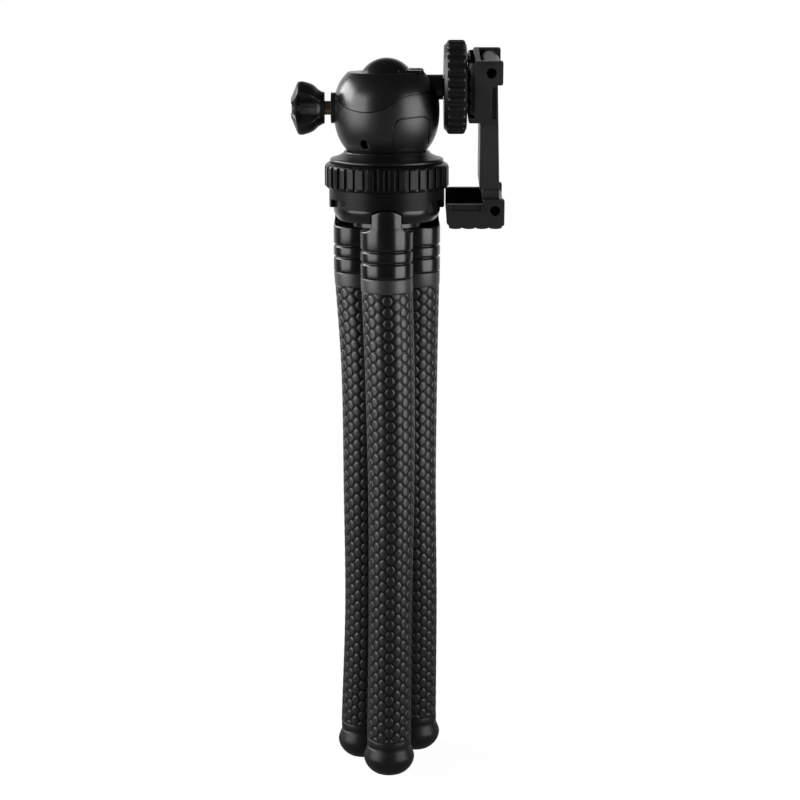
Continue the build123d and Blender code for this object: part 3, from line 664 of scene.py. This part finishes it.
# Wing knob: three smooth lobes with troughs between them, dished at its end.
# Each line runs outwards along the knob and gives the distance from its root and the radius, in mm.
KNOB_LOBE = (
    (0, 5.6),
    (1.0, 6.0),
    (2.7, 7.3),
    (4.2, 8.4),
    (5.8, 9.1),
    (7.8, 9.65),
    (9.0, 9.6),
    (9.7, 9.0),
    (10.3, 7.6),
    (10.9, 6.1),
    (11.5, 4.7),
    (11.9, 3.8),
    (12.0, 3.4),
)
KNOB_TROUGH = (
    (0, 5.6),
    (1.0, 5.55),
    (2.0, 5.3),
    (3.0, 5.0),
    (4.2, 4.6),
    (5.4, 4.2),
    (6.5, 3.9),
    (7.3, 3.7),
    (7.9, 3.6),
    (8.3, 3.52),
    (8.6, 3.45),
    (8.8, 3.35),
    (8.85, 3.15),
)
KNOB_ROOT_RADIUS = 5.6
KNOB_ROOT_SLOPE = 0.25
KNOB_POCKET = 5.5 * mm
KNOB_BORE = 2.4 * mm
# Where the lobes rise out of the round root, and where the troughs narrow again and by how much
LOBES_START = (0.6, 2.4)
TROUGH_END = (6.0, 8.8)
TROUGH_NARROWING = 0.55
TROUGH_SPREAD = 1.5
TROUGH_HALF_WIDTHS = (1.9 * mm, 3.3 * mm)
NOTCH_HALF_ANGLE = math.radians(30)
# Each ring of the dished end: its share of the rim's radius and of the pocket's depth
KNOB_DISH = ((0.90, 0.04), (0.86, 0.3), (0.84, 1.0), (0.4, 1.0))


def spline_value(before, start, end, after, t):
    """A value between start and end, on a smooth line that also goes through before and after."""
    bend = 2 * before - 5 * start + 4 * end - after
    twist = 3 * start - before - 3 * end + after
    return 0.5 * (2 * start + (end - before) * t + bend * t * t + twist * t**3)


def spline_values(points, steps):
    """Points of a smooth line through the given points."""
    last = len(points) - 1
    line = []
    for n in range(last * steps + 1):
        k = min(n // steps, last - 1)
        t = n / steps - k
        near = [points[min(max(k + m, 0), last)] for m in (-1, 0, 1, 2)]
        line.append([spline_value(*values, t) for values in zip(*near)])
    return line


def knob_point(off, lobe, trough):
    """Distance from the root and radius, at an angle from the middle of a trough."""
    (lobe_x, lobe_r), (trough_x, trough_r) = lobe, trough
    lobed = smooth_between(trough_x, *LOBES_START)
    end = 1 - TROUGH_NARROWING * smooth_between(trough_x, *TROUGH_END)
    lateral = trough_r * mm * math.tan(off)
    share = smooth_between(lateral, *(width * end for width in TROUGH_HALF_WIDTHS)) * lobed
    x = trough_x + (lobe_x - trough_x) * min(off / NOTCH_HALF_ANGLE, 1) * lobed
    radius = min(trough_r / math.cos(off), trough_r + TROUGH_SPREAD) * (1 - share) + lobe_r * share
    root_radius = KNOB_ROOT_RADIUS + KNOB_ROOT_SLOPE * trough_x
    return x * mm, (root_radius * (1 - lobed) + radius * lobed) * mm


def make_knob(material):
    """The wing knob, turned about the clamp screw's axis."""
    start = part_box("clamp_knob")[1].x
    axis_z = joints["knob_turn"]["pos_m"][2]
    steps, line_steps = 150, 4
    third = 2 * math.pi / 3
    angles = [2 * math.pi * n / steps for n in range(steps)]
    bm = bmesh.new()

    def at(angle, x, radius):
        return bm.verts.new((x, -radius * math.cos(angle), axis_z + radius * math.sin(angle)))

    rings = [[at(angle, start, KNOB_BORE) for angle in angles]]
    for lobe, trough in zip(spline_values(KNOB_LOBE, line_steps), spline_values(KNOB_TROUGH, line_steps)):
        ring = []
        for angle in angles:
            off = abs((angle + third / 2) % third - third / 2)
            x, radius = knob_point(off, lobe, trough)
            ring.append(at(angle, start - x, radius))
        rings.append(ring)
    rim = [(v.co.x, math.hypot(v.co.y, v.co.z - axis_z)) for v in rings[-1]]
    for share, depth in KNOB_DISH:
        ring = []
        for angle, (x, r) in zip(angles, rim):
            ring.append(at(angle, x * (1 - depth) + (start - KNOB_POCKET) * depth, r * share))
        rings.append(ring)
    join_rings(bm, rings)
    bm.faces.new(rings[-1])
    piece = mesh_object("wing_knob", bm, material)
    for edge in piece.data.edges:
        if all(abs(piece.data.vertices[v].co.x - start) < 0.01 * mm for v in edge.vertices):
            edge.use_edge_sharp = True
    settle(piece, "knob", "clamp_knob")


# Flange under the ball housing, in mm: a lip, a hollow slope and a round rim over the lock ring
FLANGE_PROFILE = (
    (14.0, 4.6),
    (15.2, 4.58),
    (15.45, 4.4),
    (15.45, 4.2),
    (15.75, 3.85),
    (16.5, 3.35),
    (17.5, 2.86),
    (18.6, 2.45),
    (19.4, 2.2),
    (19.75, 2.14),
    (20.1, 2.0),
    (20.4, 1.65),
    (20.5, 1.2),
    (20.42, 0.8),
    (20.2, 0.56),
    (19.9, 0.5),
    (19.8, 0.0),
    (3.2, 0.0),
)


def make_flange(material):
    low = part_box("head_flange")[0]
    profile = [(r, z + low.z / mm) for r, z in FLANGE_PROFILE]
    piece = lathe("round_flange", profile, 0, 0, material, steps=160)
    settle(piece, "head", "head_flange")


# Rubber pads of the clamp: rounded ridges across a thin base
PAD_RIDGE_COUNT = 4
PAD_RIDGE_STEPS = 16
PAD_RIDGE_POWER = 0.45
PAD_VALLEY_SHARE = 0.6
PAD_EDGE = 0.5 * mm


def make_pad(name, node, body, joint, along, out, material):
    """A ridged pad over a CAD pad. It lies along one axis and faces another, about its jaw's pivot."""
    across = Vector(joints[joint]["axis"]).normalized()
    along, out = Vector(along), Vector(out)
    out = (out - across * out.dot(across)).normalized()
    along = (along - across * along.dot(across)).normalized()
    pivot = Vector(joints[joint]["pos_m"])
    points = [v.co - pivot for v in nodes[node].data.vertices]
    start, side_low, base = [min(p.dot(axis) for p in points) for axis in (along, across, out)]
    end, side_high, face = [max(p.dot(axis) for p in points) for axis in (along, across, out)]
    pitch = (end - start) / PAD_RIDGE_COUNT
    profile = []
    for n in range(PAD_RIDGE_COUNT * PAD_RIDGE_STEPS + 1):
        t = n / PAD_RIDGE_STEPS
        wave = abs(math.sin(math.pi * t)) ** PAD_RIDGE_POWER
        height = base + (face - base) * (PAD_VALLEY_SHARE + (1 - PAD_VALLEY_SHARE) * wave)
        profile.append((start + t * pitch, height))
    # Each row along the pad: where it lies across it, and how far it drops below the ridges
    lines = (
        (side_low, face - base),
        (side_low, PAD_EDGE),
        (side_low + PAD_EDGE, 0),
        (side_high - PAD_EDGE, 0),
        (side_high, PAD_EDGE),
        (side_high, face - base),
    )
    bm = bmesh.new()
    rows = []
    for side, drop in lines:
        row = []
        for a, h in profile:
            row.append(bm.verts.new(pivot + along * a + across * side + out * max(h - drop, base)))
        rows.append(row)
    for row, following in zip(rows, rows[1:]):
        for n in range(len(row) - 1):
            bm.faces.new((row[n], row[n + 1], following[n + 1], following[n]))
    piece = mesh_object(name, bm, material)
    settle(piece, body, node)


def make_pads(material):
    make_pad("base_pad", "base_jaw_pad", "clamp", "bar_fold", (0, 0, -1), (-1, 0, 0), material)
    make_pad("far_pad", "far_jaw_pad", "far_clamp", "far_jaw_fold", (-1, 0, 0), (0, 0, -1), material)


# CAD nodes that stay, and the finishes of those that need another than their slot's
FINISHES = {
    "housing_cover": "cover_lacquer",
    "housing_lower": "housing_lacquer",
    "pan_lock_ring": "ring_moulding",
    # The pins and the camera screw take a finish of painted shade.
    "camera_screw": "painted_shade_pin",
    "base_jaw_pin": "painted_shade_pin",
    "far_jaw_pin": "painted_shade_pin",
    "bar_sleeve": "bar_plastic",
    "slide_bar": "bar_plastic",
}


def dress_nodes(materials):
    slots = {part["node"]: part["material_slot"] for part in frame["record"]["subparts"]}
    for name, node in nodes.items():
        node.data.materials.clear()
        node.data.materials.append(materials[FINISHES.get(name, slots[name])])


# Floor, lights and camera


def make_stage():
    """A pale round floor. It is white to the camera and keeps the object's shadow."""
    bm = bmesh.new()
    bmesh.ops.create_circle(bm, cap_ends=True, segments=96, radius=FLOOR_RADIUS)
    material, tree, bsdf = shader("pale_floor", Roughness=0.8, Specular_IOR_Level=0.1)
    speckle = noise(tree, 40, 3)
    tree.links.new(ramp(tree, speckle, 0.90, 0.93), bsdf.inputs["Base Color"])
    floor = mesh_object("floor", bm, material, smooth=False)
    glow = add(tree, "ShaderNodeEmission")
    glow.inputs["Color"].default_value = (1, 1, 1, 1)
    path = add(tree, "ShaderNodeLightPath")
    seen = math_node(tree, "MAXIMUM", path.outputs["Is Camera Ray"], path.outputs["Is Transmission Ray"])
    mirrored = scaled(tree, path.outputs["Is Glossy Ray"], FLOOR_LEVEL)
    level = math_node(tree, "MAXIMUM", seen, mirrored)
    tree.links.new(scaled(tree, level, FLOOR_GLOW), glow.inputs["Strength"])
    mix = add(tree, "ShaderNodeMixShader")
    mix.inputs["Fac"].default_value = FLOOR_GLOW_SHARE
    tree.links.new(bsdf.outputs["BSDF"], mix.inputs[1])
    tree.links.new(glow.outputs["Emission"], mix.inputs[2])
    tree.links.new(mix.outputs["Shader"], tree.nodes["Material Output"].inputs["Surface"])


def make_world():
    """White to the camera. The object sees a white backdrop behind it and a darker room in front."""
    world = bpy.data.worlds.new("studio")
    bpy.context.scene.world = world
    world.use_nodes = True
    tree = world.node_tree
    back = tree.nodes["Background"]
    back.inputs["Color"].default_value = (1, 1, 1, 1)
    way = add(tree, "ShaderNodeSeparateXYZ")
    tree.links.new(add(tree, "ShaderNodeTexCoord").outputs["Generated"], way.inputs["Vector"])
    behind = smooth_step(tree, way.outputs["Y"], *BACKDROP_SIDES)
    low = smooth_step(tree, way.outputs["Z"], *BACKDROP_TOP, 1.0, 0.0)
    backdrop = math_node(tree, "MULTIPLY", behind, low)
    path = add(tree, "ShaderNodeLightPath")
    glossy = math_node(tree, "MULTIPLY", backdrop, path.outputs["Is Glossy Ray"])
    room = math_node(tree, "MAXIMUM", scaled(tree, backdrop, BACKDROP_LIGHT), ROOM_LEVEL)
    seen = math_node(tree, "MAXIMUM", path.outputs["Is Camera Ray"], path.outputs["Is Transmission Ray"])
    strength = math_node(tree, "MAXIMUM", math_node(tree, "MAXIMUM", seen, glossy), room)
    tree.links.new(strength, back.inputs["Strength"])


def make_softbox(name, azimuth, low, high, width, radiance):
    """A tall lamp that stands at an angle from the camera's side and faces the object's axis."""
    data = bpy.data.lights.new(name, "AREA")
    data.shape = "RECTANGLE"
    data.size, data.size_y = width, high - low
    data.energy = radiance * math.pi * width * (high - low)
    lamp = link(bpy.data.objects.new(name, data))
    turn = math.radians(azimuth)
    lamp.location = (LAMP_DISTANCE * math.sin(turn), -LAMP_DISTANCE * math.cos(turn), (low + high) / 2)
    lamp.rotation_euler = (math.pi / 2, 0, turn)
    lamp.visible_camera = False


def make_camera():
    data = bpy.data.cameras.new("camera")
    data.lens = CAMERA_LENS
    data.clip_start, data.clip_end = CAMERA_RANGE
    camera = link(bpy.data.objects.new("camera", data))
    camera.location = CAMERA_PLACE
    camera.rotation_euler = Euler((math.pi / 2 - CAMERA_DOWN, 0, 0))
    bpy.context.scene.camera = camera


materials = {**make_metals(), **make_plastics(), **make_rubbers()}
dress_nodes(materials)
for leg_name in LEGS:
    make_sleeves(leg_name, materials)
    make_foot(leg_name, materials["plain_rubber"])
    make_cap(leg_name, materials["cap_lacquer"])
make_knob(materials["knob_plastic"])
make_flange(materials["flange_lacquer"])
make_pads(materials["pad_rubber"])
make_stage()
make_world()
for lamp_name, lamp_values in SOFTBOXES.items():
    make_softbox(lamp_name, *lamp_values)
make_camera()
bpy.context.scene.view_settings.view_transform = "Standard"
